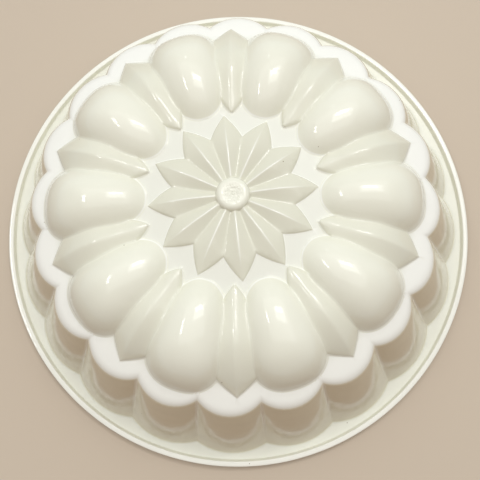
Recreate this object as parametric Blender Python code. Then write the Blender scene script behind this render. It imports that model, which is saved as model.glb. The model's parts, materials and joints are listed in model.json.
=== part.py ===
"""A fluted jelly mould: one plastic moulding, standing on its rim with the pattern side up.

The outside and the cavity are built by the same functions. The cavity's shapes are the outside's,
set in by the wall, so the wall is even and the jelly takes the same pattern.
Lengths are in metres. The rim's flat underside lies on z = 0 and the mould's axis is the z axis.
"""

import math

import bmesh
import bpy
from mathutils import Vector

# Overall body
RIM_RADIUS = 0.1000
WALL = 0.0020
FLANGE_THICKNESS = 0.0022
LIP_WIDTH = 0.0022
LIP_HEIGHT = 0.0022
LIP_ROUND = 0.0006
LIP_SLOPE_WIDTH = 0.0004

# Fluted wall: convex lobes that meet in sharp creases
LOBES = 20
FOOT_CREASE_RADIUS = 0.0915
FOOT_LOBE_RADIUS = 0.0948
EDGE_CREASE_RADIUS = 0.0717
EDGE_LOBE_RADIUS = 0.0763
SHOULDER_ROUND = 0.0028

# Crowned top: a paraboloid about the axis
CROWN_HEIGHT = 0.0563
CROWN_EDGE_HEIGHT = 0.0445
CROWN_RING_RADII = (0.0540, 0.0360, 0.0180)

# Ring of domes and ridges, alternating
RING_PAIRS = 10
RING_TURN = math.radians(2.3)

# Egg-shaped domes, highest and widest towards the outer end
DOME_INNER_END = 0.0310
DOME_OUTER_END = 0.0702
DOME_TOP_RADIUS = 0.0525
DOME_HALF_WIDTH = 0.0135
DOME_TAPER = 0.25
DOME_SQUARENESS = 2.3
DOME_HEIGHT = 0.0095
DOME_FOOT_SLOPE = math.radians(62)

# Boat-shaped ridges: straight flanks under a bowed crest, given as (radius, height over the crown)
RIDGE_INNER_TIP = 0.0316
RIDGE_OUTER_TIP = 0.0698
RIDGE_CREST = (
    (0.0340, 0.0012),
    (0.0390, 0.0029),
    (0.0450, 0.0050),
    (0.0515, 0.0064),
    (0.0580, 0.0057),
    (0.0642, 0.0034),
)
RIDGE_SLOPE = math.radians(28)
RIDGE_EAVES_DEPTH = 0.0008

# Twelve-petal daisy
PETALS = 12
DAISY_TURN = math.radians(7.8)
PETAL_TIP_RADIUS = 0.0304
PETAL_NOTCH_RADIUS = 0.0220
PETAL_SHOULDER_RADIUS = 0.0262
PETAL_SHOULDER_ANGLE = math.radians(7.2)
PETAL_CREST_RADIUS = 0.0160
PETAL_CREST_HEIGHT = 0.0026
PETAL_ROOT_RADIUS = 0.0040
PETAL_ROOT_CREST_HEIGHT = 0.0012
PETAL_ROOT_VALLEY_HEIGHT = 0.0002

# Boss in the daisy's middle, with a dish and the stub of the gate
BOSS_RADIUS = 0.0059
BOSS_HEIGHT = 0.0032
BOSS_ROUND = 0.0009
DISH_RADIUS = 0.0040
DISH_DEPTH = 0.0010
GATE_RADIUS = 0.0008
GATE_HEIGHT = 0.0004

# How far the relief's solids start below the crown's edge, and the cavity's solid passes the rim
RELIEF_ROOT_DEPTH = 0.0080
CAVITY_OVERSHOOT = 0.0050

# Facets
STEPS_PER_LOBE = 6
DOME_STEPS = 20
DOME_LEVELS = (0.84, 0.58, 0.29)
BOSS_STEPS = 24
SHARP_ANGLE = math.radians(24)

BODY_STEPS = LOBES * STEPS_PER_LOBE


def clear_scene():
    for old in list(bpy.data.objects):
        bpy.data.objects.remove(old, do_unlink=True)


def crown_height(radius, wall):
    """Height of the crowned top at this distance from the axis, lowered by the wall inside."""
    drop = (CROWN_HEIGHT - CROWN_EDGE_HEIGHT) / EDGE_CREASE_RADIUS**2
    return CROWN_HEIGHT - drop * radius**2 - wall


def lobed_radius(angle, crease, lobe):
    """Radius at this angle of a ring of convex arcs, which meet at the crease radius."""
    pitch = 2 * math.pi / LOBES
    off = (angle + pitch / 2) % pitch - pitch / 2
    centre = (lobe**2 - crease**2) / (2 * (lobe - crease * math.cos(pitch / 2)))
    arc = lobe - centre
    return centre * math.cos(off) + math.sqrt(arc**2 - (centre * math.sin(off)) ** 2)


def point_at(angle, radius, height):
    return Vector((radius * math.cos(angle), radius * math.sin(angle), height))


def wall_corner(angle, wall):
    """Where the wall's line meets the crown at this angle, as (radius, height, run).

    The run is how far the wall goes outwards for each metre down.
    """
    foot = lobed_radius(angle, FOOT_CREASE_RADIUS, FOOT_LOBE_RADIUS)
    edge = lobed_radius(angle, EDGE_CREASE_RADIUS, EDGE_LOBE_RADIUS)
    edge_height = crown_height(edge, 0)
    run = (foot - edge) / (edge_height - FLANGE_THICKNESS)
    set_in = wall * math.hypot(1, run)
    radius = edge
    for _ in range(12):
        radius = edge - set_in + (edge_height - crown_height(radius, wall)) * run
    return radius, crown_height(radius, wall), run


def shoulder_points(angle, wall):
    """Three points of the rounded shoulder, from the wall to the crown."""
    radius, height, run = wall_corner(angle, wall)
    down = SHOULDER_ROUND / math.hypot(1, run)
    corner = point_at(angle, radius, height)
    on_wall = point_at(angle, radius + down * run, height - down)
    on_crown = point_at(angle, radius - SHOULDER_ROUND, crown_height(radius - SHOULDER_ROUND, wall))
    return on_wall, (on_wall + 2 * corner + on_crown) / 4, on_crown


def round_ring(radius, height):
    return [point_at(2 * math.pi * step / BODY_STEPS, radius, height) for step in range(BODY_STEPS)]


def shoulder_rings(wall):
    angles = [2 * math.pi * step / BODY_STEPS for step in range(BODY_STEPS)]
    return [list(ring) for ring in zip(*(shoulder_points(angle, wall) for angle in angles))]


def crown_rings(wall):
    return [round_ring(radius, crown_height(radius, wall)) for radius in CROWN_RING_RADII]


def loft(name, rings, bottom=None, top=None):
    """A closed solid through rings of equal length, each end closed by a face or by a fan to a point."""
    shape = bmesh.new()
    rows = [[shape.verts.new(co) for co in ring] for ring in rings]
    count = len(rows[0])
    for lower, upper in zip(rows, rows[1:]):
        for i in range(count):
            j = (i + 1) % count
            shape.faces.new((lower[i], lower[j], upper[j], upper[i]))
    for row, tip, outward in ((rows[0], bottom, -1), (rows[-1], top, 1)):
        if tip is None:
            shape.faces.new(row[::outward])
            continue
        middle = shape.verts.new(tip)
        for i in range(count):
            shape.faces.new((row[i], row[(i + 1) % count], middle)[::outward])
    bmesh.ops.recalc_face_normals(shape, faces=shape.faces)
    mesh = bpy.data.meshes.new(name)
    shape.to_mesh(mesh)
    shape.free()
    made = bpy.data.objects.new(name, mesh)
    bpy.context.scene.collection.objects.link(made)
    return made


def make_body():
    """The outside of the rim, the flange, the fluted wall and the crown, filled."""
    top = FLANGE_THICKNESS + LIP_HEIGHT
    lip_inside = RIM_RADIUS - LIP_WIDTH
    angles = [2 * math.pi * step / BODY_STEPS for step in range(BODY_STEPS)]
    foot = [
        point_at(angle, lobed_radius(angle, FOOT_CREASE_RADIUS, FOOT_LOBE_RADIUS), FLANGE_THICKNESS)
        for angle in angles
    ]
    rings = [
        round_ring(RIM_RADIUS, 0),
        round_ring(RIM_RADIUS, top - LIP_ROUND),
        round_ring(RIM_RADIUS - LIP_ROUND, top),
        round_ring(lip_inside + LIP_ROUND, top),
        round_ring(lip_inside, top - LIP_ROUND),
        round_ring(lip_inside - LIP_SLOPE_WIDTH, FLANGE_THICKNESS),
        foot,
    ]
    rings += shoulder_rings(0) + crown_rings(0)
    return loft("mould_shell", rings, top=(0, 0, crown_height(0, 0)))


def make_cavity():
    """The fluted hollow under the crown, longer than the mould so that it opens through the rim."""
    bottom = []
    for step in range(BODY_STEPS):
        angle = 2 * math.pi * step / BODY_STEPS
        radius, height, run = wall_corner(angle, WALL)
        bottom.append(point_at(angle, radius + (height + CAVITY_OVERSHOOT) * run, -CAVITY_OVERSHOOT))
    rings = [bottom] + shoulder_rings(WALL) + crown_rings(WALL)
    return loft("cavity", rings, top=(0, 0, crown_height(0, WALL)))


def set_in_plan(wall, slope):
    """How far a face of this slope moves inwards, when it also drops by the wall, for an even wall."""
    return wall * math.tan(slope / 2)


def relief_root():
    return CROWN_EDGE_HEIGHT - RELIEF_ROOT_DEPTH


def dome_rise(share):
    """Height of a dome over the crown, as a share, at this share of its outline."""
    low = math.cos(DOME_FOOT_SLOPE)
    return (math.sqrt(1 - (share * math.sin(DOME_FOOT_SLOPE)) ** 2) - low) / (1 - low)


def make_dome(turn, wall):
    """One egg-shaped dome that rises from the crown at this angle."""
    inset = set_in_plan(wall, DOME_FOOT_SLOPE)
    middle = (DOME_INNER_END + DOME_OUTER_END) / 2
    half_length = (DOME_OUTER_END - DOME_INNER_END) / 2 - inset
    half_width = DOME_HALF_WIDTH - inset

    def place(step, share, height=None):
        a = 2 * math.pi * step / DOME_STEPS
        u = math.copysign(abs(math.cos(a)) ** (2 / DOME_SQUARENESS), math.cos(a))
        v = math.copysign(abs(math.sin(a)) ** (2 / DOME_SQUARENESS), math.sin(a))
        outline_along = middle + half_length * u
        outline_across = half_width * v * (1 + DOME_TAPER * u)
        along = DOME_TOP_RADIUS + share * (outline_along - DOME_TOP_RADIUS)
        across = share * outline_across
        radius = math.hypot(along, across)
        if height is None:
            height = crown_height(radius, wall) + DOME_HEIGHT * dome_rise(share)
        return point_at(turn + math.atan2(across, along), radius, height)

    rings = [[place(step, 1, relief_root()) for step in range(DOME_STEPS)]]
    for share in (1,) + DOME_LEVELS:
        rings.append([place(step, share) for step in range(DOME_STEPS)])
    top = crown_height(DOME_TOP_RADIUS, wall) + DOME_HEIGHT
    return loft("dome", rings, top=point_at(turn, DOME_TOP_RADIUS, top))


def make_ridge(turn, wall):
    """One ridge: a roof whose crest falls to a point at both ends, like an upturned boat."""
    run = 1 / math.tan(RIDGE_SLOPE)
    drop = wall / math.cos(RIDGE_SLOPE) - wall

    def place(along, across, height):
        radius = math.hypot(along, across)
        return point_at(turn + math.atan2(across, along), radius, height)

    def section(along, rise):
        """Points of one cross-section, from the left of the root over the crest to the right."""
        ridge_top = crown_height(along, wall) + rise - drop
        eaves = crown_height(along, wall) - RIDGE_EAVES_DEPTH
        half_width = (ridge_top - eaves) * run
        return [
            place(along, half_width, relief_root()),
            place(along, half_width, eaves),
            place(along, 0, ridge_top),
            place(along, -half_width, eaves),
            place(along, -half_width, relief_root()),
        ]

    tips = ((RIDGE_INNER_TIP, 0), (RIDGE_OUTER_TIP, 0))
    sections = [section(along, rise) for along, rise in (tips[0], *RIDGE_CREST, tips[1])]
    return loft("ridge", sections)


def make_daisy(wall):
    """The petals as one solid: sharp crests, with valleys between them as far as the notches."""
    half_pitch = math.pi / PETALS
    profile = (
        # (radius, rise) at the crest, the shoulder and the valley of a petal
        ((PETAL_TIP_RADIUS, 0), (PETAL_SHOULDER_RADIUS, 0), (PETAL_NOTCH_RADIUS, 0)),
        (
            (PETAL_CREST_RADIUS, PETAL_CREST_HEIGHT),
            (PETAL_CREST_RADIUS, PETAL_CREST_HEIGHT / 2),
            (PETAL_CREST_RADIUS, PETAL_ROOT_VALLEY_HEIGHT),
        ),
        (
            (PETAL_ROOT_RADIUS, PETAL_ROOT_CREST_HEIGHT),
            (PETAL_ROOT_RADIUS, (PETAL_ROOT_CREST_HEIGHT + PETAL_ROOT_VALLEY_HEIGHT) / 2),
            (PETAL_ROOT_RADIUS, PETAL_ROOT_VALLEY_HEIGHT),
        ),
    )
    offsets = (0, PETAL_SHOULDER_ANGLE, half_pitch, 2 * half_pitch - PETAL_SHOULDER_ANGLE)
    kinds = (0, 1, 2, 1)
    rings = [[] for _ in range(len(profile) + 1)]
    for petal in range(PETALS):
        for offset, kind in zip(offsets, kinds):
            angle = DAISY_TURN + 2 * half_pitch * petal + offset
            rings[0].append(point_at(angle, profile[0][kind][0], relief_root()))
            for ring, level in zip(rings[1:], profile):
                radius, rise = level[kind]
                ring.append(point_at(angle, radius, crown_height(radius, wall) + rise))
    return loft("daisy", rings, top=(0, 0, crown_height(0, wall) + PETAL_ROOT_CREST_HEIGHT))


def turned_ring(radius, height):
    return [point_at(2 * math.pi * step / BOSS_STEPS, radius, height) for step in range(BOSS_STEPS)]


def make_boss(wall):
    """The round boss. Outside, its top is dished and holds the stub of the gate."""
    top = crown_height(0, wall) + BOSS_HEIGHT - (DISH_DEPTH if wall else 0)
    radius = BOSS_RADIUS - wall
    rings = [turned_ring(radius, relief_root()), turned_ring(radius, top - BOSS_ROUND)]
    rings.append(turned_ring(radius - BOSS_ROUND, top))
    if wall:
        return loft("boss", rings)
    floor = top - DISH_DEPTH
    rings.append(turned_ring(DISH_RADIUS, top))
    rings.append(turned_ring(GATE_RADIUS * 2, floor))
    rings.append(turned_ring(GATE_RADIUS, floor))
    rings.append(turned_ring(GATE_RADIUS, floor + GATE_HEIGHT))
    return loft("boss", rings)


def make_relief(name, wall):
    """Domes, ridges, daisy and boss, in a collection that a Boolean can join to the body in one step."""
    group = bpy.data.collections.new(name)
    bpy.context.scene.collection.children.link(group)
    pitch = 2 * math.pi / RING_PAIRS
    pieces = [make_daisy(wall), make_boss(wall)]
    for pair in range(RING_PAIRS):
        pieces.append(make_dome(RING_TURN + pair * pitch, wall))
        pieces.append(make_ridge(RING_TURN + (pair + 0.5) * pitch, wall))
    for piece in pieces:
        bpy.context.scene.collection.objects.unlink(piece)
        group.objects.link(piece)
        hide_helper(piece)
    return group


def hide_helper(piece):
    piece.hide_render = True
    piece.display_type = "WIRE"


def add_boolean(target, operation, cutter=None, group=None):
    boolean = target.modifiers.new(operation.lower(), "BOOLEAN")
    boolean.operation = operation
    boolean.solver = "EXACT"
    if group:
        boolean.operand_type = "COLLECTION"
        boolean.collection = group
    else:
        boolean.object = cutter


def cream_plastic():
    material = bpy.data.materials.new("cream_plastic")
    material.use_nodes = True
    shader = material.node_tree.nodes["Principled BSDF"]
    shader.inputs["Base Color"].default_value = (0.80, 0.79, 0.68, 1)
    shader.inputs["Roughness"].default_value = 0.18
    shader.inputs["Metallic"].default_value = 0
    return material


def bake_booleans(target):
    """Replaces the mesh by the result of its modifiers, so that its edges can be set by angle."""
    bpy.context.view_layer.update()
    evaluated = target.evaluated_get(bpy.context.evaluated_depsgraph_get())
    baked = bpy.data.meshes.new_from_object(evaluated)
    target.modifiers.clear()
    target.data = baked
    target.data.name = target.name
    target.data.shade_smooth()
    target.data.set_sharp_from_angle(angle=SHARP_ANGLE)


def make_mould():
    shell = make_body()
    add_boolean(shell, "UNION", group=make_relief("relief_outside", 0))
    cavity = make_cavity()
    hide_helper(cavity)
    add_boolean(cavity, "UNION", group=make_relief("relief_inside", WALL))
    add_boolean(shell, "DIFFERENCE", cutter=cavity)
    bake_booleans(shell)
    shell.data.materials.clear()
    shell.data.materials.append(cream_plastic())
    for helper in [piece for piece in bpy.data.objects if piece.hide_render]:
        bpy.data.objects.remove(helper, do_unlink=True)
    return shell


clear_scene()
make_mould()
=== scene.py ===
"""Looks of the fluted jelly mould: one finely meshed glossy plastic shell, a pale floor and soft light.

The mould's top is a height over its plan, outside and in the cavity. A point of the plan is the complex
number x + 1j * y, and a point of the wall's profile is radius + 1j * height. Both are in millimetres.
The sizes are the part's own, but for the small roundings and for the domes' height and slope, the
petals' heights and the boss, which are fitted a little closer.
"""

import json
import math

import bmesh
import bpy
import numpy as np
from mathutils import Matrix, Vector, kdtree
from mathutils.geometry import delaunay_2d_cdt

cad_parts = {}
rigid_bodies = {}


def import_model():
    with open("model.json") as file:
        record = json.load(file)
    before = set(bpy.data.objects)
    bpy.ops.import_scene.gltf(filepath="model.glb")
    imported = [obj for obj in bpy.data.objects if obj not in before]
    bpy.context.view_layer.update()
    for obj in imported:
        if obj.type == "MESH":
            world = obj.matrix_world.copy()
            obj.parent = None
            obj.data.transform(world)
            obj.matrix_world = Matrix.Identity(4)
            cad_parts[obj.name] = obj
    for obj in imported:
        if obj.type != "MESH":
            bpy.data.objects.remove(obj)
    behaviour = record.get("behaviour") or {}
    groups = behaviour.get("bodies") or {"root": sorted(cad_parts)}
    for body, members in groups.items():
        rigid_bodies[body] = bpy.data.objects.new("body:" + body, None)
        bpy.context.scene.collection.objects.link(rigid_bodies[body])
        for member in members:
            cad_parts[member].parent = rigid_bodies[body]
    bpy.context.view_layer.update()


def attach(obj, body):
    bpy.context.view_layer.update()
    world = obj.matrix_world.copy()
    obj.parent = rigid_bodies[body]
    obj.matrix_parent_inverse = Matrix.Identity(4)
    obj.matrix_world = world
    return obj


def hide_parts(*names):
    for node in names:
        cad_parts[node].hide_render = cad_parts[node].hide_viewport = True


MM = 0.001

# Rim, flange and wall. Past its end angle the arc of a lobe falls steeply, by this much per radian
WALL = 2.0
RIM_RADIUS = 100.0
FLANGE_THICKNESS = 2.2
LIP_WIDTH = 2.2
LIP_HEIGHT = 2.2
LIP_SLOPE_WIDTH = 0.4
LIP_ROUND = 0.6
LOBES = 20
FOOT_CREASE_RADIUS = 91.5
FOOT_LOBE_RADIUS = 94.8
EDGE_CREASE_RADIUS = 71.7
EDGE_LOBE_RADIUS = 76.3
SHOULDER_ROUND = 2.8
LOBE_END = math.radians(12)
LOBE_FALL = 100

# Crowned top
CROWN_HEIGHT = 56.3
CROWN_EDGE_HEIGHT = 44.5

# Ring of domes and ridges, alternating. The ridge's crest is given as (radius, height over the crown)
RING_PAIRS = 10
RING_TURN = math.radians(2.3)
RING_START = 30.8
DOME_INNER_END = 31.0
DOME_OUTER_END = 70.2
DOME_TOP_RADIUS = 52.5
DOME_HALF_WIDTH = 13.5
DOME_TAPER = 0.25
DOME_SQUARENESS = 2.3
DOME_HEIGHT = 9.93
DOME_FOOT_SLOPE = math.radians(68)
DOME_LEAN = 0.009
RIDGE_CREST = ((31.6, 0), (34, 1.2), (39, 2.9), (45, 5.0), (51.5, 6.4), (58, 5.7), (64.2, 3.4), (69.8, 0))
RIDGE_SLOPE = math.radians(28)
RIDGE_TIP = RIDGE_CREST[0][0]

# Daisy. Crest and valley are (radius, height over the crown). Beyond the notch between two petals, at x
# along the petal, its half width is a + b x + c x^2
PETALS = 12
DAISY_TURN = math.radians(7.8)
PETAL_CREST = ((0, 0.9), (4, 1.3), (10, 2.1), (16, 2.75), (23, 2.2), (30.4, 0.4))
PETAL_VALLEY = ((0, 0.2), (4, 0.2), (16, 0.35), (22, 0.35), (26.2, -0.4), (30.4, -1.8))
PETAL_NOTCH_ALONG = 21.25
PETAL_OUTLINE = (5.69, -0.3863, -0.02575)

# Boss with a dish and the stub of the gate, given as (radius, height over the dish). A skirt is how far
# out and down the foot goes. The cavity's corner is given as (offset from its radius, from its top)
BOSS_RADIUS = 6.05
BOSS_HEIGHT = 2.9
BOSS_ROUND = 1.9
BOSS_SKIRT = (0.45, -0.6)
DISH_RADIUS = 4.15
DISH_DEPTH = 0.7
DISH_FULLNESS = 1.5
DISH_INNER_SHARE = 0.2
GATE = ((0.66, -0.04), (0.5, -0.14), (0.42, 0.1), (0.3, 0.14), (0, 0.14))
CAVITY_BOSS_RADIUS = 5.9
CAVITY_BOSS_CORNER = ((-0.8, 0), (-0.2, -0.3), (0, -0.9))
CAVITY_BOSS_SKIRT = (0.4, -0.5)

# Small forms and roundings, most of which the part's own solid leaves out
BLEND = 1.3
CAVITY_BLEND = 2 * BLEND
SHARP_BLEND = 0.15
BOSS_BLEND = 0.4
SIDE_SLOPE = 2.0
RIDGE_CREST_ROUND = 0.85
RIDGE_BULGE = 0.18
RIDGE_STEP = 0.35
RIDGE_FOOT_BLEND = 0.3
NOSE_ROUND = 2.3
NOSE_LIFT = 0.8
NOSE_FADE = 3.0
NOSE_BLEND = 0.5
NOSE_CREST_SHARE = 1.5
NOSE_FOOT_BLEND = 0.9
PETAL_CREST_ROUND = 0.3
PETAL_BLEND = 0.6
PETAL_BULGE = 0.15
PETAL_FOOT = 0.9
CREASE_BLEND = 0.5
FOOT_FILLET = 0.8
LIP_FILLET = 0.35
LIP_FILLET_SHARE = 0.25
EDGE_ROUND = 0.3

# Mesh of the wall and the rim: where its columns lie from a crease to a lobe's middle, and the steps from
# ring to ring
COLUMN_SHARES = (0, 0.014, 0.035, 0.07, 0.12, 0.19, 0.28, 0.38, 0.5, 0.64, 0.82)
SHOULDER_STEPS = 8
CAVITY_SHOULDER_STEPS = 6
WALL_STEPS = 5
FILLET_STEPS = 5
LIP_FILLET_STEPS = 4
FLAT_STEPS = 3
LIP_TOP_STEPS = 2
EDGE_STEPS = 3

# Mesh of the top: offsets of the points beside each feature line, their spacing along it, and the spans
# that they fill. In the cavity the offsets, the spacings and the gaps between points are wider by its
# coarseness
CAVITY_COARSENESS = 2.4
FOOT_OFFSETS = (-0.7, -0.4, -0.22, -0.1, 0, 0.1, 0.22, 0.4, 0.7)
RIDGE_CREST_OFFSETS = (-0.75, -0.45, -0.2, 0, 0.2, 0.45, 0.75)
PETAL_CREST_OFFSETS = (-0.6, -0.3, -0.14, 0, 0.14, 0.3, 0.6)
PETAL_EDGE_OFFSETS = (-0.5, -0.3, -0.18, -0.08, 0.02, 0.12, 0.25, 0.5)
VALLEY_SPAN = (31, 70.4)
RIDGE_FOOT_SPAN = (31.4, 70.0)
RIDGE_CREST_SPAN = (31.2, 70.6)
RIDGE_FILL_SPAN = (33, 69)
RIDGE_FILL_ACROSS = (-8, 8.1)
PETAL_CREST_SPAN = (6.9, 31.2)
PETAL_VALLEY_END = 22.6
PETAL_EDGE_LENGTH = 9.15
DAISY_FILL_SPAN = (7, 31)
FLAT_GRID_SPAN = (-78, 78)
FLAT_RADII = (28, 76)
COVER_HEIGHT = 0.1
VALLEY_SPACING = 0.55
OUTLINE_SPACING = 0.5
RIDGE_FOOT_SPACING = 0.35
NOSE_SPACING = 0.07
RIDGE_CREST_SPACING = 0.6
PETAL_CREST_SPACING = 0.75
DOME_LEVELS = 17
DOME_LEVEL_SPACING = 1.05
FILL_SPACING = 1.1
RIDGE_CROSS_SPACING = 0.95
FLAT_SPACING = 1.7
FILL_GAP = 0.62
FLAT_GAP = 1.2
BORDER_GAP = 0.35
PLAN_MERGE_DISTANCE = 0.04
MERGE_DISTANCE = 0.01
BOSS_COLUMNS = 64
BOSS_RINGS = (
    0.3, 0.42, 0.5, 0.58, 0.66, 0.8, 1.0, 1.4, 1.8, 2.3, 2.8, 3.2, 3.6, 3.9, 4.15, 4.4,
    4.7, 5.0, 5.25, 5.5, 5.7, 5.85, 5.95, 6.02, 6.06, 6.12, 6.18, 6.26, 6.34, 6.42, 6.52, 6.7,
)
CAVITY_BOSS_COLUMNS = 40
CAVITY_BOSS_RINGS = (0.8, 1.8, 2.6, 3.1, 3.4, 3.7, 3.9, 4.0, 4.1, 4.2, 4.3, 4.5, 4.9, 5.6, 6.4)

# Zones of the plastic, among them painted shade and painted highlights. A pair is the span in which a
# zone fades in or out, by its height over the crown, radius, level, distance aside, or part of the
# normal, but the lip's foot has sharp limits. A share is how strong the zone is
TOP_RISE = (-1.5, -0.4)
GROUND_RISE = (0.004, 0.04)
FLANGE_LEVEL = 2.6
FLANGE_UPWARD = (0.8, 0.97)
LIP_FOOT_RADII = (96.4, 98.3)
LIP_FOOT_LEVEL = 1.0
FLANGE_SHARE = 0.6
# The daisy's and the ridges' zone darkens them: painted shade
DAISY_SHADE_START = (5.7, 6.4)
DAISY_SHADE_END = (30.6, 31)
RIDGE_SHADE_START = 31.3
RIDGE_SHADE_ASIDE = 9.0
RIDGE_SHADE_SLACK = 0.4
RIDGE_SHADE_RISE = (0.04, 0.3)
RIDGE_SHADE_SHARE = 0.6
# The wall's zone tans it: painted shade, fainter towards the wall's foot
WALL_SHADE_OUTWARD = (0.2, 0.5)
WALL_SHADE_UPWARD = (0.6, 0.95)
WALL_SHADE_END = (95.8, 96.4)
WALL_SHADE_LEVEL = (12, 26)
WALL_SHADE_FOOT_SHARE = 0.55
# The creases, shelf, lip, crests and fillets get a pale colour: painted highlights and reflections
CREASE_HIGHLIGHT_ASIDE = (0.3, 0.9)
CREASE_HIGHLIGHT_LEVEL = (9, 24)
CREASE_HIGHLIGHT_SHARE = 0.4
SHELF_HIGHLIGHT_START = (63, 68)
SHELF_HIGHLIGHT_SHARE = 0.68
LIP_HIGHLIGHT_START = (97.6, 98.1)
LIP_HIGHLIGHT_LEVEL = (2.4, 3.8)
LIP_HIGHLIGHT_SHARE = 0.5
CREST_HIGHLIGHT_WIDTH = 0.2
CREST_HIGHLIGHT_START = (BOSS_RADIUS, 7)
CREST_HIGHLIGHT_END = (17, 28)
CREST_HIGHLIGHT_SHARE = 0.6
FILLET_HIGHLIGHT_RISE = (0.1, 0.6)
PETAL_HIGHLIGHT_DEPTH = 0.45
PETAL_HIGHLIGHT_RISE = (0.15, 0.5)
PETAL_HIGHLIGHT_START = (18, 20)
FILLET_HIGHLIGHT_SHARE = 0.7

# Plastic: colours, roughness, lengths in metres and noise scales per metre
CREAM = (0.835, 0.83, 0.71, 1)
CREAM_SHADE = (0.81, 0.805, 0.68, 1)
GROUND_COLOUR = (0.78, 0.78, 0.69, 1)
# The daisy's darker tone and the wall's tan are painted shade; the pale colour is painted highlights
DAISY_AND_RIDGE_PAINTED_SHADE = (0.725, 0.715, 0.59, 1)
WALL_PAINTED_SHADE = (0.74, 0.675, 0.50, 1)
PAINTED_HIGHLIGHT_COLOUR = (0.94, 0.94, 0.89, 1)
SPECK_COLOUR = (0.30, 0.24, 0.15, 1)
NOISE_MIDDLE = (0.3, 0.7)
MOTTLE_SCALE = 38
SPECK_SCALE = 400
SPECK_RARITY = 0.982
SPECK_EDGE = (0.06, 0.10)
SCRATCH_SCALE = (60, 1500, 1500)
SCRATCH_TURN = (0.2, 0.1, 0.6)
SCRATCH_SPAN = (0.66, 0.74)
SCRATCH_ROUGHNESS = 0.10
SCRATCH_DEPTH = 0.000004
GLOSS_SCALE = 90
GLOSS_ROUGHNESS = (0.07, 0.12)
GROUND_ROUGHNESS = 0.40
PLASTIC_IOR = 1.56
GATE_GRAIN_SPAN = (0.0022, 0.0044)
GATE_GRAIN_SCALE = 1000
GATE_GRAIN_DEPTH = 0.0005
WAVE_SCALE = 85
WAVE_DEPTH = 0.00018
PEEL_SCALE = 700
PEEL_DEPTH = 0.000004

# Floor, in metres
FLOOR_HALF = 3.0
FLOOR_COLOUR = (0.57, 0.48, 0.375, 1)
FLOOR_BOUNCE = (0.20, 0.11, 0.04, 1)
FLOOR_ROUGHNESS = 0.7

# The photograph's camera: angles in radians, focal length in the photograph's pixels, distance from the
# point that it aims at on the lip's level, and that point, in millimetres
PHOTO_PIXELS = 480
CAMERA_TURN = math.radians(7.37)
CAMERA_TILT = 0.187505
CAMERA_ROLL = -0.108144
CAMERA_FOCAL = 598.58
CAMERA_DISTANCE = 260.0
CAMERA_AIM = (0.7729, -6.4158)
SENSOR_WIDTH = 36
CLIP_START = 0.01

# Soft panels: name, place along the camera's right, far and up in metres, size in metres, power in watts
LIGHTS = (
    ("overhead", (0.06, 0.17, 1.05), (1.5, 1.3), 4.65),
    ("window", (0.27, 0.28, 1.0), (0.56, 0.4), 1.6),
    ("core", (0.25, 0.38, 0.97), (0.36, 0.14), 1.1),
    ("lamp", (-0.54, 0.14, 0.97), (0.06, 0.34), 0.75),
    ("bulb", (-0.12, 1.15, 0.95), (0.07, 0.05), 0.08),
)

# Surround: the direction in which its light on the mould grows, the span along it, and its colours
WORLD_AXIS = (0, 0.75, 0.66)
WORLD_SPAN = (-0.75, 0.85)
WORLD_NEAR = (0.20, 0.085, 0.01, 1)
WORLD_FAR = (0.60, 0.62, 0.635, 1)

LOBE_PITCH = 2 * math.pi / LOBES
RING_PITCH = 2 * math.pi / RING_PAIRS
RING_HALF = RING_PITCH / 2
PETAL_PITCH = 2 * math.pi / PETALS


def smax(a, b, k):
    """Larger of the two, rounded where they differ by less than k."""
    near = np.maximum(k - np.abs(a - b), 0) / k
    return np.maximum(a, b) + near * near * k / 4


def smin(a, b, k):
    """Smaller of the two, rounded where they differ by less than k."""
    return -smax(-a, -b, k)


def soft_abs(x, k):
    """Distance from 0, rounded within about k of it."""
    return np.sqrt(x * x + k * k) - k


def smooth_share(x, low, high):
    """0 up to low, 1 from high on, and a smooth step between them."""
    t = np.clip((x - low) / (high - low), 0, 1)
    return t * t * (3 - 2 * t)


def folded(angle, pitch):
    """Distance of each angle from the nearest multiple of the pitch."""
    return np.abs((angle + pitch / 2) % pitch - pitch / 2)


def spline(points, x):
    """Smooth curve through the points, with straight ends beyond them."""
    px, py = np.array(points, float).T
    gaps = np.diff(px)
    slopes = np.diff(py) / gaps
    system = np.eye(len(px))
    right = np.zeros(len(px))
    for i in range(1, len(px) - 1):
        system[i, i - 1 : i + 2] = gaps[i - 1], 2 * (gaps[i - 1] + gaps[i]), gaps[i]
        right[i] = 6 * (slopes[i] - slopes[i - 1])
    bend = np.linalg.solve(system, right)
    inside = np.clip(x, px[0], px[-1])
    i = np.clip(np.searchsorted(px, inside) - 1, 0, len(px) - 2)
    a, b, h = px[i + 1] - inside, inside - px[i], gaps[i]
    value = (bend[i] * a**3 + bend[i + 1] * b**3) / (6 * h)
    value += (py[i] / h - bend[i] * h / 6) * a + (py[i + 1] / h - bend[i + 1] * h / 6) * b
    first = slopes[0] - gaps[0] * (2 * bend[0] + bend[1]) / 6
    last = slopes[-1] + gaps[-1] * (bend[-2] + 2 * bend[-1]) / 6
    return value + np.minimum(x - px[0], 0) * first + np.maximum(x - px[-1], 0) * last


def crown(radius):
    """Height of the crowned top, without its relief."""
    drop = (CROWN_HEIGHT - CROWN_EDGE_HEIGHT) / EDGE_CREASE_RADIUS**2
    return CROWN_HEIGHT - drop * radius**2


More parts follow.
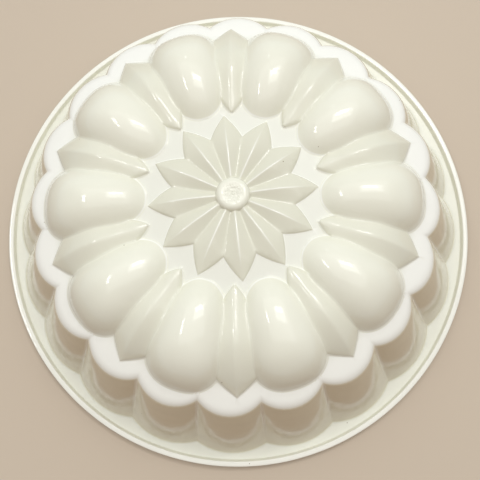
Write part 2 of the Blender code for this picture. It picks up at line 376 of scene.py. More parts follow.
def dome_outline(wall):
    """Upper half of a dome's foot line, with the dome's axis along +X, from its outer to its inner end."""
    inset = wall * math.tan(DOME_FOOT_SLOPE / 2)
    a = np.linspace(0, np.pi, 361)
    u = np.sign(np.cos(a)) * np.abs(np.cos(a)) ** (2 / DOME_SQUARENESS)
    v = np.abs(np.sin(a)) ** (2 / DOME_SQUARENESS)
    middle = (DOME_INNER_END + DOME_OUTER_END) / 2
    along = middle + ((DOME_OUTER_END - DOME_INNER_END) / 2 - inset) * u
    return along + 1j * (DOME_HALF_WIDTH - inset) * v * (1 + DOME_TAPER * u)


def dome_height(at, wall):
    """Height over the crown of a dome whose axis is along +X."""
    outline = dome_outline(wall) - DOME_TOP_RADIUS
    away = at - DOME_TOP_RADIUS
    share = np.abs(away) / np.interp(np.abs(np.angle(away)), np.angle(outline), np.abs(outline))
    low = math.cos(DOME_FOOT_SLOPE)
    cap = (np.sqrt(1 - (np.minimum(share, 1) * math.sin(DOME_FOOT_SLOPE)) ** 2) - low) / (1 - low)
    foot_fall = math.sin(DOME_FOOT_SLOPE) ** 2 / (low * (1 - low))
    return DOME_HEIGHT * (cap * (1 + DOME_LEAN * away.real) - np.maximum(share - 1, 0) * foot_fall)


def ridge_half_width(along, wall):
    """Half of the ridge's width at its foot, rounded at its inner end on the outside."""
    width = (spline(RIDGE_CREST, along) + wall - wall / math.cos(RIDGE_SLOPE)) / math.tan(RIDGE_SLOPE)
    if wall:
        return width
    nose = np.sqrt(np.maximum(2 * NOSE_ROUND * (along - RIDGE_TIP), 0))
    return smin(width + NOSE_LIFT * np.exp((RIDGE_TIP - along) / NOSE_FADE), nose, NOSE_BLEND)


def ridge_height(at, wall):
    """Height over the crown of a ridge whose crest is along +X."""
    rise = spline(RIDGE_CREST, at.real) + wall - wall / math.cos(RIDGE_SLOPE)
    by_nose = np.exp((RIDGE_TIP - np.maximum(at.real, RIDGE_TIP)) / NOSE_FADE)
    aside = soft_abs(at.imag, RIDGE_CREST_ROUND * (1 if wall else 1 + NOSE_CREST_SHARE * by_nose))
    if not wall:
        rise = rise + RIDGE_STEP + NOSE_LIFT * by_nose
        foot = np.maximum(rise / math.tan(RIDGE_SLOPE), 1)
        aside = aside * (1 - RIDGE_BULGE + RIDGE_BULGE * aside / foot)
    roof = crown(at.real) + rise - math.tan(RIDGE_SLOPE) * aside
    side = SIDE_SLOPE * (ridge_half_width(at.real, wall) - np.abs(at.imag))
    blend = SHARP_BLEND if wall else RIDGE_FOOT_BLEND + NOSE_FOOT_BLEND * by_nose
    return smin(roof - crown(np.abs(at)), side, blend)


def petal_height(radius, offset):
    """Height over the crown of one petal, at this angle from its crest."""
    crest, valley = spline(PETAL_CREST, radius), spline(PETAL_VALLEY, radius)
    half_width = np.maximum(radius, 1) * math.sin(PETAL_PITCH / 2)
    aside = np.abs(radius * np.sin(offset))
    down = soft_abs(aside, PETAL_CREST_ROUND) / half_width
    roof = crest + (valley - crest) * down * (1 - PETAL_BULGE + PETAL_BULGE * down)
    beyond = radius * np.cos(offset) - PETAL_NOTCH_ALONG
    outline = PETAL_OUTLINE[0] + PETAL_OUTLINE[1] * beyond
    outline = outline + PETAL_OUTLINE[2] * np.maximum(beyond, 0) ** 2
    return smin(roof, SIDE_SLOPE * (outline - aside), SHARP_BLEND)


def daisy_height(radius, angle):
    """Height over the crown of all petals, rounded in the valleys between them."""
    offset = folded(angle - DAISY_TURN, PETAL_PITCH)
    return smax(petal_height(radius, offset), petal_height(radius, PETAL_PITCH - offset), PETAL_BLEND)


def boss_height(radius, wall):
    """Height over the crown of the boss, or of the plainer hollow under it."""
    if wall:
        corner, top = CAVITY_BOSS_RADIUS - wall, BOSS_HEIGHT - DISH_DEPTH
        profile = [(0, top), *((corner + out, top + up) for out, up in CAVITY_BOSS_CORNER)]
        profile.append((corner + CAVITY_BOSS_SKIRT[0], CAVITY_BOSS_SKIRT[1]))
        return np.interp(radius, *np.array(profile).T)
    turn = np.linspace(0, math.pi / 2, 13)
    rim_r = BOSS_RADIUS - BOSS_ROUND + BOSS_ROUND * np.cos(turn)
    rim_h = BOSS_HEIGHT - BOSS_ROUND + BOSS_ROUND * np.sin(turn)
    bowl = np.linspace(1, DISH_INNER_SHARE, 12)
    bowl_h = BOSS_HEIGHT - DISH_DEPTH * (1 - bowl**2) ** DISH_FULLNESS
    gate_r, gate_h = np.array(GATE).T
    r = np.concatenate([[BOSS_RADIUS + BOSS_SKIRT[0]], rim_r, DISH_RADIUS * bowl, gate_r])
    h = np.concatenate([[BOSS_SKIRT[1]], rim_h, bowl_h, bowl_h[-1] + gate_h])
    return np.interp(radius, r[::-1], h[::-1])


def top_height(at, wall):
    """Height of the outside's top, or of the cavity's ceiling under the wall."""
    radius, angle = np.abs(at), np.angle(at)
    from_dome = folded(angle - RING_TURN, RING_PITCH)
    dome = dome_height(radius * np.exp(1j * from_dome), wall)
    ridge = ridge_height(radius * np.exp(1j * (RING_HALF - from_dome)), wall)
    blend = CAVITY_BLEND if wall else BLEND
    relief = smax(smax(dome, ridge, blend), 0, blend)
    daisy = smax(daisy_height(radius, angle), 0, PETAL_FOOT)
    relief = np.where(radius > RING_START, relief, daisy)
    relief = smax(relief, boss_height(radius, wall), BOSS_BLEND)
    return crown(radius) - wall + relief


def strip(curve, offsets):
    """The curve's points and their copies at each distance to its sides."""
    normal = 1j * np.gradient(curve)
    normal /= np.abs(normal)
    return np.concatenate([curve + d * normal for d in offsets])


def strips_by_run(curve, offsets):
    """Strips along a curve whose points come in separate runs, over 2 mm apart."""
    breaks = np.flatnonzero(np.abs(np.diff(curve)) > 2) + 1
    runs = [run for run in np.split(curve, breaks) if len(run) > 3]
    return np.concatenate([strip(run, offsets) for run in runs])


def resampled(curve, spacing):
    """The curve's points moved along it to an even spacing."""
    along = np.concatenate([[0], np.cumsum(np.abs(np.diff(curve)))])
    count = max(int(along[-1] / spacing), 2)
    at = np.linspace(0, along[-1], count + 1)
    return np.interp(at, along, curve.real) + 1j * np.interp(at, along, curve.imag)


def dome_and_ridge_valley(wall, coarse):
    """The line in which a dome meets the ridge beside it, smoothed over seven points."""
    radii = np.arange(*VALLEY_SPAN, 0.2)
    turns = np.linspace(0, RING_HALF, 541)
    grid = radii[:, None] * np.exp(1j * turns)[None, :]
    flipped = radii[:, None] * np.exp(1j * (RING_HALF - turns))[None, :]
    dome, ridge = dome_height(grid, wall), ridge_height(flipped, wall)
    first = np.argmax(dome < ridge, axis=1)
    rows = np.arange(len(radii))
    here = (first > 0) & (dome[rows, first] > 0.05)
    valley = resampled(grid[rows, first][here], VALLEY_SPACING * coarse)
    return np.convolve(np.pad(valley, 3, mode="reflect", reflect_type="odd"), np.ones(7) / 7, "valid")


def free_dome_outline(wall, coarse):
    """The dome's foot line where no ridge covers it."""
    outline = resampled(dome_outline(wall), OUTLINE_SPACING * coarse)
    to_ridge = np.abs(outline) * np.exp(1j * (RING_HALF - np.abs(np.angle(outline))))
    return outline[ridge_height(to_ridge, wall) < COVER_HEIGHT]


def free_ridge_outline(wall, coarse):
    """One side of the ridge's foot line, with the ridge along +X, where no dome covers it."""
    nose_end = RIDGE_TIP + 1
    nose = np.arange(RIDGE_TIP + 0.02, nose_end, NOSE_SPACING * coarse)
    along = np.arange(*RIDGE_FOOT_SPAN, RIDGE_FOOT_SPACING * coarse)
    along = np.concatenate([nose, along[along > nose_end]])
    width = np.maximum(ridge_half_width(along, wall), 0)
    bow = resampled(along + 1j * width, RIDGE_FOOT_SPACING * coarse)
    to_dome = np.abs(bow) * np.exp(1j * (RING_HALF - np.angle(bow)))
    hidden = dome_height(to_dome, wall) > COVER_HEIGHT
    return bow[~hidden & (bow.imag > 0.04)]


def ring_points(wall, coarse):
    """Plan points for one dome and one ridge, as (points on feature lines, points between them)."""
    side = np.array(FOOT_OFFSETS) * coarse
    to_ridge = np.exp(1j * RING_HALF)
    valley = dome_and_ridge_valley(wall, coarse)
    outline = free_dome_outline(wall, coarse)
    bow = free_ridge_outline(wall, coarse)
    crest = np.arange(*RIDGE_CREST_SPAN, RIDGE_CREST_SPACING * coarse) + 0j
    lines = [strip(valley, side), strip(valley.conj(), side)]
    lines += [strips_by_run(half, side) for half in (outline, outline.conj())]
    lines += [strips_by_run(half, side) * to_ridge for half in (bow, bow.conj())]
    lines.append(strip(crest, np.array(RIDGE_CREST_OFFSETS) * coarse) * to_ridge)

    full = dome_outline(wall)
    full = np.concatenate([full, full[::-1].conj()])
    fill = [
        resampled(DOME_TOP_RADIUS + share * (full - DOME_TOP_RADIUS), DOME_LEVEL_SPACING * coarse)
        for share in np.linspace(0.04, 0.97, int(DOME_LEVELS / coarse))
    ]
    along, across = np.meshgrid(
        np.arange(*RIDGE_FILL_SPAN, FILL_SPACING * coarse),
        np.arange(*RIDGE_FILL_ACROSS, RIDGE_CROSS_SPACING * coarse),
    )
    fill.append((along + 1j * across).ravel() * to_ridge)
    return np.concatenate(lines), np.concatenate(fill)


def daisy_points(coarse):
    """Plan points for one petal, its outline and the valley beside it, split as in ring_points."""
    radii = np.arange(*PETAL_CREST_SPAN, PETAL_CREST_SPACING * coarse)
    side = np.array(PETAL_CREST_OFFSETS) * coarse
    crest = strip(radii + 0j, side)
    valley = strip(radii[radii < PETAL_VALLEY_END] + 0j, side) * np.exp(1j * PETAL_PITCH / 2)
    beyond = np.linspace(0, PETAL_EDGE_LENGTH, 60)
    edge = PETAL_NOTCH_ALONG + beyond + 1j * np.polyval(PETAL_OUTLINE[::-1], beyond)
    edge = resampled(edge, OUTLINE_SPACING * coarse)
    side = np.array(PETAL_EDGE_OFFSETS) * coarse
    lines = [crest, valley, strip(edge, side), strip(edge.conj(), side)]
    grid_r, grid_a = np.meshgrid(
        np.arange(*DAISY_FILL_SPAN, FILL_SPACING * coarse), np.linspace(0, PETAL_PITCH, 8, endpoint=False)
    )
    return np.concatenate(lines), (grid_r * np.exp(1j * grid_a)).ravel()


def boss_points(wall):
    """Plan points in rings about the axis, every second ring turned by half a column."""
    radii = CAVITY_BOSS_RINGS if wall else BOSS_RINGS
    count = CAVITY_BOSS_COLUMNS if wall else BOSS_COLUMNS
    rings = [
        r * np.exp(2j * np.pi * (np.arange(count) + 0.5 * (i % 2)) / count) for i, r in enumerate(radii)
    ]
    return np.concatenate([[0j], *rings])


def turned_copies(points, count, turn):
    """The points repeated evenly round the axis, with the first copy at this turn."""
    return np.concatenate([points * np.exp(1j * (turn + 2 * np.pi * i / count)) for i in range(count)])


def kept_apart(points, fixed, gap):
    """The points that are further than the gap from each fixed one."""
    tree = kdtree.KDTree(len(fixed))
    for i, p in enumerate(fixed):
        tree.insert((p.real, p.imag, 0), i)
    tree.balance()
    far = [tree.find((p.real, p.imag, 0))[2] > gap for p in points]
    return points[np.array(far)]


def top_points(wall, coarse):
    """All plan points of the top: those on feature lines first, then the fill that keeps clear of them."""
    lines, fill = ring_points(wall, coarse)
    daisy_lines, daisy_fill = daisy_points(coarse)
    lines = turned_copies(lines, RING_PAIRS, RING_TURN)
    fill = turned_copies(fill, RING_PAIRS, RING_TURN)
    daisy_lines = turned_copies(daisy_lines, PETALS, DAISY_TURN)
    daisy_lines = daisy_lines[np.abs(daisy_lines) < RING_START - 0.1]
    daisy_fill = turned_copies(daisy_fill, PETALS, DAISY_TURN)
    places = np.arange(*FLAT_GRID_SPAN, FLAT_SPACING * coarse)
    x, y = np.meshgrid(places, places)
    flats = (x + 1j * y).ravel()
    flats = flats[(np.abs(flats) > FLAT_RADII[0]) & (np.abs(flats) < FLAT_RADII[1])]
    lines = np.concatenate([lines, daisy_lines, boss_points(wall)])
    fill = kept_apart(np.concatenate([fill, daisy_fill]), lines, FILL_GAP * coarse)
    flats = kept_apart(flats, np.concatenate([lines, fill]), FLAT_GAP * coarse)
    return np.concatenate([lines, fill, flats])


def top_mesh(border, wall, coarse):
    """Vertices and triangles of the outside's top, or of the cavity's ceiling, inside its border points."""
    points = top_points(wall, coarse)
    border_angle = np.angle(border) % (2 * np.pi)
    order = np.argsort(border_angle)
    angle = np.angle(points) % (2 * np.pi)
    limit = np.interp(angle, border_angle[order], np.abs(border)[order], period=2 * np.pi)
    points = points[np.abs(points) < limit - BORDER_GAP]
    flat = [Vector((p.real, p.imag)) for p in np.concatenate([border, points])]
    outline = [list(range(len(border)))]
    made, _, faces, *_ = delaunay_2d_cdt(flat, [], outline, 1, PLAN_MERGE_DISTANCE)
    at = np.array([v.x + 1j * v.y for v in made])
    return np.column_stack([at.real, at.imag, top_height(at, wall)]), np.array(faces)


def lobed_radius(angle, crease, lobe):
    """A ring of convex arcs, with a small rounding in the creases between them."""
    off = folded(angle, LOBE_PITCH)
    centre = (lobe**2 - crease**2) / (2 * (lobe - crease * math.cos(LOBE_PITCH / 2)))
    arc = lobe - centre

    def reach(a):
        """Radius of the arc at this angle from its middle, which falls steeply past its end."""
        side = centre * np.sin(np.minimum(a, LOBE_END))
        return centre * np.cos(a) + np.sqrt(arc**2 - side**2) - np.maximum(a - LOBE_END, 0) * LOBE_FALL

    return smax(reach(off), reach(LOBE_PITCH - off), CREASE_BLEND)


def column_angles():
    """Angles of the mesh's columns, closer together by the creases."""
    half = LOBE_PITCH / 2
    shares = np.array(COLUMN_SHARES)
    one = np.concatenate([shares, [1], 2 - shares[:0:-1]]) * half
    return np.concatenate([half + one + 2 * half * i for i in range(LOBES)])


def bezier(a, b, c, count):
    """Points of a curve from a to c that leaves and arrives towards b, with both ends left out."""
    t = np.arange(1, count) / count
    return [(1 - s) ** 2 * a + 2 * s * (1 - s) * b + s * s * c for s in t]


def between(a, b, count):
    """Points that split the way from a to b into equal steps, with both ends left out."""
    return [a + (b - a) * s / count for s in range(1, count)]


def wall_lines(angles, wall):
    """The wall's run outwards per height, the shoulder's sharp corner, and the two ends of its rounding."""
    foot = lobed_radius(angles, FOOT_CREASE_RADIUS, FOOT_LOBE_RADIUS)
    edge = lobed_radius(angles, EDGE_CREASE_RADIUS, EDGE_LOBE_RADIUS)
    edge_height = crown(edge)
    run = (foot - edge) / (edge_height - FLANGE_THICKNESS)
    set_in = wall * np.hypot(1, run)

    # The corner is where the set-in wall meets the set-in crown, found in steps
    radius = edge
    for _ in range(12):
        radius = edge - set_in + (edge_height - crown(radius) + wall) * run
    corner = radius + 1j * (crown(radius) - wall)
    down = SHOULDER_ROUND / np.hypot(1, run)
    on_wall = corner + down * run - 1j * down
    on_crown = radius - SHOULDER_ROUND
    on_crown = on_crown + 1j * top_height(on_crown * np.exp(1j * angles), wall)
    return run, corner, on_wall, on_crown


def lip_profile():
    """Profile of the raised lip, from the flange at its inner side over its top to the rim's underside."""
    top = FLANGE_THICKNESS + LIP_HEIGHT
    inside = RIM_RADIUS - LIP_WIDTH
    toe = inside - LIP_SLOPE_WIDTH + 1j * FLANGE_THICKNESS
    inner_side, inner_top = inside + 1j * (top - LIP_ROUND), inside + LIP_ROUND + 1j * top
    outer_side, outer_top = RIM_RADIUS + 1j * (top - LIP_ROUND), RIM_RADIUS - LIP_ROUND + 1j * top
    low_side, low_edge = RIM_RADIUS + 1j * EDGE_ROUND, RIM_RADIUS - EDGE_ROUND + 0j
    before_toe, past_toe = toe - LIP_FILLET, toe + (inner_side - toe) * LIP_FILLET_SHARE
    points = [before_toe, *bezier(before_toe, toe, past_toe, LIP_FILLET_STEPS), past_toe]
    points += [inner_side, *bezier(inner_side, inside + 1j * top, inner_top, FILLET_STEPS), inner_top]
    points += [*between(inner_top, outer_top, LIP_TOP_STEPS), outer_top]
    points += [*bezier(outer_top, RIM_RADIUS + 1j * top, outer_side, FILLET_STEPS), outer_side]
    points += [*between(outer_side, low_side, FLAT_STEPS), low_side]
    return [*points, *bezier(low_side, RIM_RADIUS + 0j, low_edge, EDGE_STEPS), low_edge]


def ring_profile(angles):
    """Rings from the crown's edge over the wall, the flange and the lip, and back up in the cavity."""
    run, corner, on_wall, on_crown = wall_lines(angles, 0)
    foot = on_wall.real + (on_wall.imag - FLANGE_THICKNESS) * run + 1j * FLANGE_THICKNESS
    above_foot = foot + FOOT_FILLET * (1j - run)
    beyond_foot = foot + FOOT_FILLET
    rings = [on_crown, *bezier(on_crown, corner, on_wall, SHOULDER_STEPS), on_wall]
    rings += [*between(on_wall, above_foot, WALL_STEPS), above_foot]
    rings += [*bezier(above_foot, foot, beyond_foot, FILLET_STEPS), beyond_foot]
    lip = [point * np.ones(len(angles)) for point in lip_profile()]
    rings += [*between(beyond_foot, lip[0], FLAT_STEPS), *lip]

    run, corner, on_wall, on_crown = wall_lines(angles, WALL)
    mouth = on_wall.real + on_wall.imag * run + 0j
    in_mouth = mouth + EDGE_ROUND * (1j - run)
    by_mouth = mouth + EDGE_ROUND
    rings += [*between(lip[-1], by_mouth, FLAT_STEPS), by_mouth]
    rings += [*bezier(by_mouth, mouth, in_mouth, EDGE_STEPS), in_mouth]
    rings += [*between(in_mouth, on_wall, WALL_STEPS), on_wall]
    return [*rings, *bezier(on_wall, corner, on_crown, CAVITY_SHOULDER_STEPS), on_crown]


def shell_mesh():
    """The closed shell: rings of quads for the wall and the rim, and triangles for the two tops."""
    angles = column_angles()
    rings = ring_profile(angles)
    columns = len(angles)
    spin = np.exp(1j * angles)
    walls = np.concatenate(
        [np.column_stack([(ring.real * spin).real, (ring.real * spin).imag, ring.imag]) for ring in rings]
    )
    i = np.arange(columns)
    j = (i + 1) % columns
    quads = [
        np.column_stack([k * columns + i, (k + 1) * columns + i, (k + 1) * columns + j, k * columns + j])
        for k in range(len(rings) - 1)
    ]
    outside, out_faces = top_mesh(rings[0].real * spin, 0, 1.0)
    inside, in_faces = top_mesh(rings[-1].real * spin, WALL, CAVITY_COARSENESS)
    shape = bmesh.new()
    verts = [shape.verts.new(co * MM) for co in np.concatenate([walls, outside, inside])]
    for quad in np.concatenate(quads):
        shape.faces.new([verts[v] for v in quad])
    for faces, start, turn in ((out_faces, len(walls), 1), (in_faces, len(walls) + len(outside), -1)):
        for face in faces:
            shape.faces.new([verts[start + v] for v in face[::turn]])
    bmesh.ops.remove_doubles(shape, verts=shape.verts, dist=MERGE_DISTANCE * MM)
    bmesh.ops.recalc_face_normals(shape, faces=shape.faces)
    mesh = bpy.data.meshes.new("mould_shell_fine")
    shape.to_mesh(mesh)
    shape.free()
    mesh.shade_smooth()
    paint_zones(mesh)
    return mesh


def fillet_highlight_share(at):
    """Painted highlight in the fillets at the reliefs' feet: 1 there, 0 elsewhere."""
    radius, angle = np.abs(at), np.angle(at)
    from_dome = folded(angle - RING_TURN, RING_PITCH)
    dome = dome_height(radius * np.exp(1j * from_dome), 0)
    ridge = ridge_height(radius * np.exp(1j * (RING_HALF - from_dome)), 0)
    ring = 1 - smooth_share(np.abs(np.maximum(dome, ridge)), *FILLET_HIGHLIGHT_RISE)
    from_fillet = np.abs(daisy_height(radius, angle) + PETAL_HIGHLIGHT_DEPTH)
    by_petal = 1 - smooth_share(from_fillet, *PETAL_HIGHLIGHT_RISE)
    return np.where(radius > RING_START, ring, by_petal * smooth_share(radius, *PETAL_HIGHLIGHT_START))


def ridge_shade_share(at, over):
    """Painted shade on the ridges: 1 on them, 0 elsewhere."""
    radius = np.abs(at)
    turn = folded(np.angle(at) - RING_TURN - RING_HALF, RING_PITCH)
    shown = ridge_height(radius * np.exp(1j * turn), 0) > over - RIDGE_SHADE_SLACK
    beside = radius * np.sin(turn) < RIDGE_SHADE_ASIDE
    return (radius > RIDGE_SHADE_START) * beside * shown * smooth_share(over, *RIDGE_SHADE_RISE)


def crest_highlight_share(at):
    """Painted highlight along the inner part of the petals' crests: 1 there, 0 elsewhere."""
    radius = np.abs(at)
    aside = radius * np.sin(folded(np.angle(at) - DAISY_TURN, PETAL_PITCH))
    line = np.exp(-((aside / CREST_HIGHLIGHT_WIDTH) ** 2))
    return line * smooth_share(radius, *CREST_HIGHLIGHT_START) * (1 - smooth_share(radius, *CREST_HIGHLIGHT_END))


def paint_zones(mesh):
    """A colour attribute for the material, worked out from the shape alone and alike all round the mould.

    Red is the satin crown and flange, green painted shade that darkens the daisy and the ridges, blue
    painted shade that tans the wall, and alpha painted highlights on the shelf round the crown, the lip,
    the petals' crests, the reliefs' fillets and the creases.
    """
    co, normal = np.empty(len(mesh.vertices) * 3), np.empty(len(mesh.vertices) * 3)
    mesh.vertices.foreach_get("co", co)
    mesh.vertex_normals.foreach_get("vector", normal)
    x, y, z = co.reshape(-1, 3).T / MM
    nx, ny, nz = normal.reshape(-1, 3).T
    at = x + 1j * y
    radius = np.abs(at)
    over = top_height(at, 0) - crown(radius)
    on_top = smooth_share(z - crown(radius), *TOP_RISE)

    ground = on_top * (1 - smooth_share(over, *GROUND_RISE)) * (radius > BOSS_RADIUS)
    lip_foot = (radius > LIP_FOOT_RADII[0]) * (radius < LIP_FOOT_RADII[1]) * (z > LIP_FOOT_LEVEL)
    flange = np.maximum((z < FLANGE_LEVEL) * smooth_share(nz, *FLANGE_UPWARD), lip_foot)
    # Green: painted shade, a darker tone on the petals and, fainter, on the ridges
    daisy = on_top * (1 - ground) * (1 - smooth_share(radius, *DAISY_SHADE_END))
    daisy *= smooth_share(radius, *DAISY_SHADE_START)
    ridge = RIDGE_SHADE_SHARE * on_top * ridge_shade_share(at, over)

    # Blue: painted shade, a tan on the wall that is fainter towards its foot
    outward = (nx * x + ny * y) / np.maximum(radius, 1)
    wall = (1 - on_top) * smooth_share(outward + nz, *WALL_SHADE_OUTWARD)
    wall *= 1 - smooth_share(nz, *WALL_SHADE_UPWARD)
    wall *= 1 - smooth_share(radius, *WALL_SHADE_END)
    from_crease = radius * folded(np.angle(at) - LOBE_PITCH / 2, LOBE_PITCH)
    crease = wall * (1 - smooth_share(from_crease, *CREASE_HIGHLIGHT_ASIDE)) * smooth_share(z, *CREASE_HIGHLIGHT_LEVEL)
    wall *= WALL_SHADE_FOOT_SHARE + (1 - WALL_SHADE_FOOT_SHARE) * smooth_share(z, *WALL_SHADE_LEVEL)

    # Alpha: painted highlights on the shelf, the lip, the petals' crests, the fillets and the creases
    shelf_highlight = SHELF_HIGHLIGHT_SHARE * ground * smooth_share(radius, *SHELF_HIGHLIGHT_START)
    lip = LIP_HIGHLIGHT_SHARE * smooth_share(radius, *LIP_HIGHLIGHT_START) * smooth_share(z, *LIP_HIGHLIGHT_LEVEL)
    crest = CREST_HIGHLIGHT_SHARE * on_top * crest_highlight_share(at)
    fillet_highlight = FILLET_HIGHLIGHT_SHARE * on_top * fillet_highlight_share(at)
    pale = np.maximum.reduce([shelf_highlight, lip, crest, fillet_highlight, CREASE_HIGHLIGHT_SHARE * crease])
    satin = np.maximum(ground, FLANGE_SHARE * flange)
    colours = np.column_stack([satin, np.maximum(daisy, ridge), wall, pale])
    layer = mesh.color_attributes.new("zones", "FLOAT_COLOR", "POINT")
    layer.data.foreach_set("color", colours.ravel())


class Nodes:
    """Adds and joins the nodes of a material or a world in one line each."""

    def __init__(self, owner, shader="Principled BSDF"):
        owner.use_nodes = True
        self.tree = owner.node_tree
        self.shader = self.tree.nodes[shader]

    def add(self, kind, inputs=(), **settings):
        node = self.tree.nodes.new("ShaderNode" + kind)
        for name, value in settings.items():
            setattr(node, name, value)
        for socket, value in dict(inputs).items():
            self.set(node.inputs[socket], value)
        return node

    def set(self, socket, value):
        if isinstance(value, bpy.types.NodeSocket):
            self.tree.links.new(value, socket)
        else:
            socket.default_value = value

    def math(self, operation, *values):
        return self.add("Math", enumerate(values), operation=operation).outputs[0]

    def mix(self, share, a, b):
        """A mix of two colours, whose sockets in this node are inputs 6 and 7 and output 2."""
        return self.add("Mix", {0: share, 6: a, 7: b}, data_type="RGBA").outputs[2]

    def noise(self, where, scale, detail):
        return self.add("TexNoise", {"Vector": where, "Scale": scale, "Detail": detail}).outputs["Fac"]

    def between(self, value, low, high, to_low=0.0, to_high=1.0, **settings):
        inputs = {"Value": value, "From Min": low, "From Max": high, "To Min": to_low, "To Max": to_high}
        return self.add("MapRange", inputs, **settings).outputs[0]

    def bump(self, height, distance, normal=None):
        inputs = {"Height": height, "Distance": distance}
        if normal:
            inputs["Normal"] = normal
        return self.add("Bump", inputs).outputs[0]


def plastic_colour(n, where, ground, daisy, wall, pale):
    """Mottled cream, toned by zone with painted shade and painted highlights, with rare dark specks."""
    mottle = n.between(n.noise(where, MOTTLE_SCALE, 4), *NOISE_MIDDLE)
    colour = n.mix(mottle, CREAM, CREAM_SHADE)
    # The daisy and wall tones are painted shade, the pale tone painted highlights
    tones = ((ground, GROUND_COLOUR), (daisy, DAISY_AND_RIDGE_PAINTED_SHADE), (wall, WALL_PAINTED_SHADE), (pale, PAINTED_HIGHLIGHT_COLOUR))
    for share, tone in tones:
        colour = n.mix(share, colour, tone)
    cells = n.add("TexVoronoi", {"Vector": where, "Scale": SPECK_SCALE}).outputs
    chance = n.add("SeparateColor", {"Color": cells["Color"]}).outputs[0]
    spot = n.between(cells["Distance"], *SPECK_EDGE, 1.0, 0.0)
    speck = n.math("MULTIPLY", n.math("GREATER_THAN", chance, SPECK_RARITY), spot)
    return n.mix(speck, colour, SPECK_COLOUR)


def cream_plastic():
    """Glossy cream plastic: satin ground, painted shade and highlights, faint waves, specks, fine
    scratches.
    """
    material = bpy.data.materials.new("cream_plastic_fine")
    n = Nodes(material)
    where = n.add("TexCoord").outputs["Object"]
    zones = n.add("Attribute", attribute_name="zones").outputs
    # Green and blue carry painted shade, alpha painted highlights
    ground, daisy, wall = n.add("SeparateColor", {"Color": zones["Color"]}).outputs
    colour = plastic_colour(n, where, ground, daisy, wall, zones["Alpha"])
    n.set(n.shader.inputs["Base Color"], colour)

    inputs = {"Vector": where, "Rotation": SCRATCH_TURN, "Scale": SCRATCH_SCALE}
    stretched = n.add("Mapping", inputs).outputs[0]
    scratch = n.between(n.noise(stretched, 1.0, 3), *SCRATCH_SPAN)
    rough = n.between(n.noise(where, GLOSS_SCALE, 4), *NOISE_MIDDLE, *GLOSS_ROUGHNESS)
    rough = n.math("ADD", rough, n.math("MULTIPLY", scratch, SCRATCH_ROUGHNESS))
    rough = n.math("ADD", rough, n.math("MULTIPLY", ground, GROUND_ROUGHNESS))
    n.set(n.shader.inputs["Roughness"], rough)
    n.shader.inputs["IOR"].default_value = PLASTIC_IOR

    flat = n.add("VectorMath", {0: where, 1: (1, 1, 0)}, operation="MULTIPLY").outputs[0]
    off_centre = n.add("VectorMath", {0: flat}, operation="LENGTH").outputs["Value"]
    by_gate = n.between(off_centre, *GATE_GRAIN_SPAN, 1.0, 0.0)
    grain = n.math("MULTIPLY", by_gate, n.noise(where, GATE_GRAIN_SCALE, 3))
    normal = n.bump(n.noise(where, WAVE_SCALE, 1), WAVE_DEPTH)
    normal = n.bump(grain, GATE_GRAIN_DEPTH, normal)
    normal = n.bump(n.noise(where, PEEL_SCALE, 1), PEEL_DEPTH, normal)
    n.set(n.shader.inputs["Normal"], n.bump(scratch, SCRATCH_DEPTH, normal))
    return material


def seen_plainly(n):
    """1 where the camera looks, straight or by a reflection, and 0 for light that falls on the mould."""
    path = n.add("LightPath").outputs
    seen = path["Is Camera Ray"]
    for kind in ("Is Glossy Ray", "Is Transmission Ray"):
        seen = n.math("MAXIMUM", seen, path[kind])
    return seen


def add_floor():
    """A pale plain floor, whose light on the mould is warm and dim, as from a wooden table."""
    mesh = bpy.data.meshes.new("floor")
    corners = [(x * FLOOR_HALF, y * FLOOR_HALF, 0) for x, y in ((-1, -1), (1, -1), (1, 1), (-1, 1))]
    mesh.from_pydata(corners, [], [(0, 1, 2, 3)])
    floor = bpy.data.objects.new("floor", mesh)
    bpy.context.scene.collection.objects.link(floor)
    material = bpy.data.materials.new("pale_floor")
    n = Nodes(material)
    n.set(n.shader.inputs["Base Color"], n.mix(seen_plainly(n), FLOOR_BOUNCE, FLOOR_COLOUR))
    n.shader.inputs["Roughness"].default_value = FLOOR_ROUGHNESS
    mesh.materials.append(material)


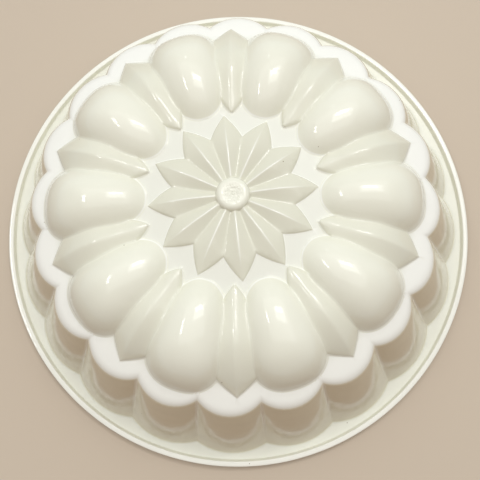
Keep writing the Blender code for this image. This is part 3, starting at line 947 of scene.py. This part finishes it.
def add_world():
    """A pale plain surround, whose light on the mould fades from a neutral far side to a dim near side."""
    world = bpy.data.worlds.new("studio")
    bpy.context.scene.world = world
    n = Nodes(world, "Background")
    direction = n.add("TexCoord").outputs["Generated"]
    along = n.add("VectorMath", {0: direction, 1: WORLD_AXIS}, operation="DOT_PRODUCT").outputs["Value"]
    far = n.between(along, *WORLD_SPAN, interpolation_type="SMOOTHSTEP")
    light = n.mix(far, WORLD_NEAR, WORLD_FAR)
    n.set(n.shader.inputs["Color"], n.mix(seen_plainly(n), light, WORLD_FAR))


def add_light(name, at, size, power):
    """A soft panel that faces the mould; its place is given along the camera's right, far and up."""
    data = bpy.data.lights.new(name, "AREA")
    data.shape = "RECTANGLE"
    data.size, data.size_y = size
    data.energy = power
    light = bpy.data.objects.new(name, data)
    back = Vector(at).normalized()
    up = back.cross(Vector((1, 0, 0))).normalized()
    axes = Matrix((up.cross(back), up, back)).transposed()
    light.matrix_world = Matrix.Rotation(CAMERA_TURN, 4, "Z") @ Matrix.Translation(at) @ axes.to_4x4()
    bpy.context.scene.collection.objects.link(light)


def add_camera():
    """The photograph's camera, fitted to the rim, the lobes' creases and the relief's tips."""
    right = Vector((1, 0, 0))
    up = Vector((0, math.cos(CAMERA_TILT), math.sin(CAMERA_TILT)))
    back = Vector((0, -math.sin(CAMERA_TILT), math.cos(CAMERA_TILT)))
    cosine, sine = math.cos(CAMERA_ROLL), math.sin(CAMERA_ROLL)
    axes = Matrix((right * cosine + up * sine, up * cosine - right * sine, back)).transposed()
    place = Vector((*CAMERA_AIM, FLANGE_THICKNESS + LIP_HEIGHT)) + back * CAMERA_DISTANCE
    spin = Matrix.Rotation(CAMERA_TURN, 4, "Z")
    camera = bpy.data.objects.new("camera", bpy.data.cameras.new("camera"))
    camera.data.sensor_width = SENSOR_WIDTH
    camera.data.lens = SENSOR_WIDTH * CAMERA_FOCAL / PHOTO_PIXELS
    camera.data.clip_start = CLIP_START
    camera.matrix_world = spin @ (Matrix.Translation(place * MM) @ axes.to_4x4())
    bpy.context.scene.collection.objects.link(camera)
    bpy.context.scene.camera = camera


for old in list(bpy.data.objects):
    bpy.data.objects.remove(old, do_unlink=True)
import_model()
shell = bpy.data.objects.new("mould_shell_fine", shell_mesh())
bpy.context.scene.collection.objects.link(shell)
shell.data.materials.append(cream_plastic())
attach(shell, "root")
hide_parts("mould_shell")
add_floor()
add_world()
for panel in LIGHTS:
    add_light(*panel)
add_camera()
scene = bpy.context.scene
scene.view_settings.view_transform = "Standard"
